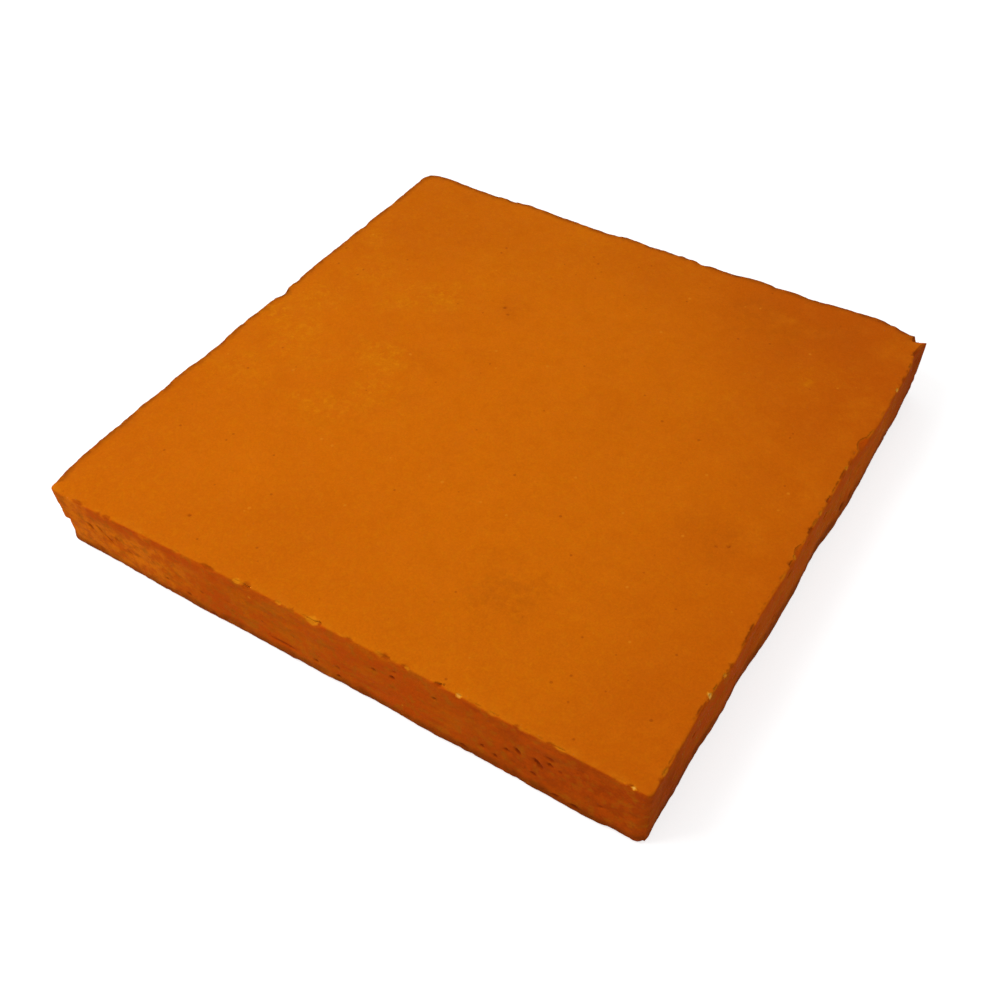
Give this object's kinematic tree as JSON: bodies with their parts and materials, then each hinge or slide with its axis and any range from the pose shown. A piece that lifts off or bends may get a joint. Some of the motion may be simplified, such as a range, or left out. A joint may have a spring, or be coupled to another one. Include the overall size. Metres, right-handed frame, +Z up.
{
  "type": "terracotta floor tile",
  "caption": "Square unglazed clay floor tile, hand-moulded and thick, with a flat wearing face, straying sides, worn arrises and small chips.",
  "frame": {"origin": "middle of the bed, the flat underside, centred on the tile's outline", "axes": "+Z up through the thickness; +Y towards the back side, +X towards the right side, as the picture shows them"},
  "size_m": [0.3022, 0.3038, 0.035],
  "materials": {
    "terracotta": "matt, unglazed, burnt orange with redder and browner sides"
  },
  "bodies": {
    "root": {"tile": "terracotta"}
  },
  "joints": []
}
